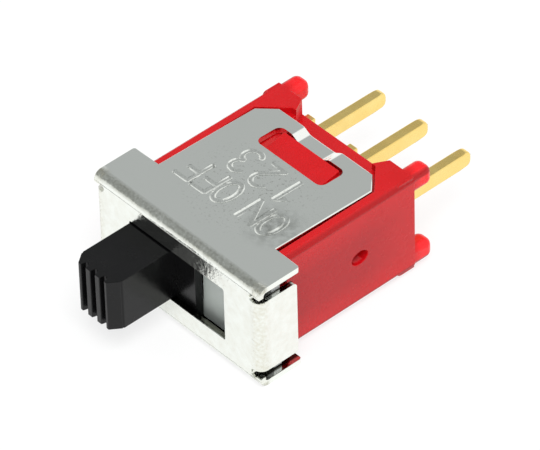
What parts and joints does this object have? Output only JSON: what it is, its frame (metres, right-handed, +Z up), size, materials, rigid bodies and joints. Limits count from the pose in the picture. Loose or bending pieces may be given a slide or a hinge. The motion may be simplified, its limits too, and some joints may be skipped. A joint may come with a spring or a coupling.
{
  "type": "slide switch",
  "caption": "Subminiature right-angle slide switch with a ridged slider in a folded metal bracket, a moulded housing with standoff nubs and straight pins in a row.",
  "frame": {"origin": "middle of the slider's window, on the front face of the bracket", "axes": "+X along the slider's travel, +Y from the bracket's front face towards the terminals, +Z up from the lower wing to the upper wing as the switch lies"},
  "size_m": [0.01, 0.0167, 0.0052],
  "materials": {
    "tinned_steel": "bright tinned sheet steel, formed",
    "grey_nylon": "light grey moulded, satin",
    "grey_film": "thin light grey plastic, satin",
    "red_nylon": "red moulded, glass filled, satin",
    "black_nylon": "black moulded, satin",
    "natural_acetal": "natural white, smooth",
    "spring_steel": "drawn wire",
    "plated_copper": "gold plated strip",
    "plated_brass": "gold plated stamped sheet"
  },
  "bodies": {
    "switch_body": {"bracket": "tinned_steel", "guide_frame": "grey_nylon", "housing": "red_nylon", "common_terminal": "plated_brass", "left_terminal": "plated_brass", "right_terminal": "plated_brass"},
    "slider_body": {"slider": "black_nylon", "plunger_spring": "spring_steel"},
    "shield_body": {"dust_shield": "grey_film"},
    "plunger_body": {"plunger": "natural_acetal"},
    "rocker_body": {"rocker_contact": "plated_copper"}
  },
  "joints": [
    {"name": "slider_travel", "type": "slide", "parent": "switch_body", "child": "slider_body", "axis": [1, 0, 0], "range_m": [0, 0.0032]},
    {"name": "shield_travel", "type": "slide", "parent": "switch_body", "child": "shield_body", "axis": [1, 0, 0], "range_m": [0, 0.0016]},
    {"name": "plunger_press", "type": "slide", "parent": "slider_body", "child": "plunger_body", "axis": [0, -1, 0], "range_m": [0, 0.0003], "stiffness_N_per_m": 700, "springref_m": -0.0008, "deforming": ["plunger_spring"]},
    {"name": "rocker_tilt", "type": "hinge", "parent": "switch_body", "child": "rocker_body", "pos_m": [0, 0.0052, 0], "axis": [0, 0, 1], "range_deg": [0, 16]}
  ],
  "couplings": [
    {"joint": "shield_travel", "follows": "slider_travel", "ratio": 0.5},
    {"joint": "rocker_tilt", "follows": "slider_travel", "rad_per_m": 87.266}
  ]
}
